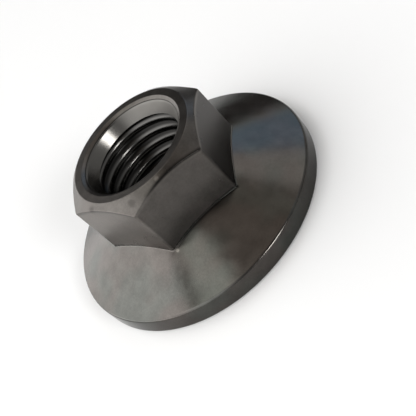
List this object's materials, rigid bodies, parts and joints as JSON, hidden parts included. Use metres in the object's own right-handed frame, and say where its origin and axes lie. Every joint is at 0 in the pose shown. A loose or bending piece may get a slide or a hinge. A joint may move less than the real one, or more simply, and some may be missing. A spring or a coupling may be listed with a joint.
{
  "type": "hexagon flange nut",
  "caption": "Tall hexagon nut with a wide conical flange, a chamfered top and a right-hand metric thread, in dark satin steel.",
  "frame": {"origin": "centre of the flat bearing face under the flange, which the nut stands on", "axes": "+Z along the bore from the bearing face to the hexagon's top, X across two opposite hexagon corners, Y across two opposite flats"},
  "size_m": [0.0305, 0.0304, 0.0127],
  "materials": {
    "dark_steel": "dark skin over steel, satin on the flange and flats, a little cleaner where tools cut the bore"
  },
  "bodies": {
    "root": {"nut": "dark_steel"}
  },
  "joints": []
}
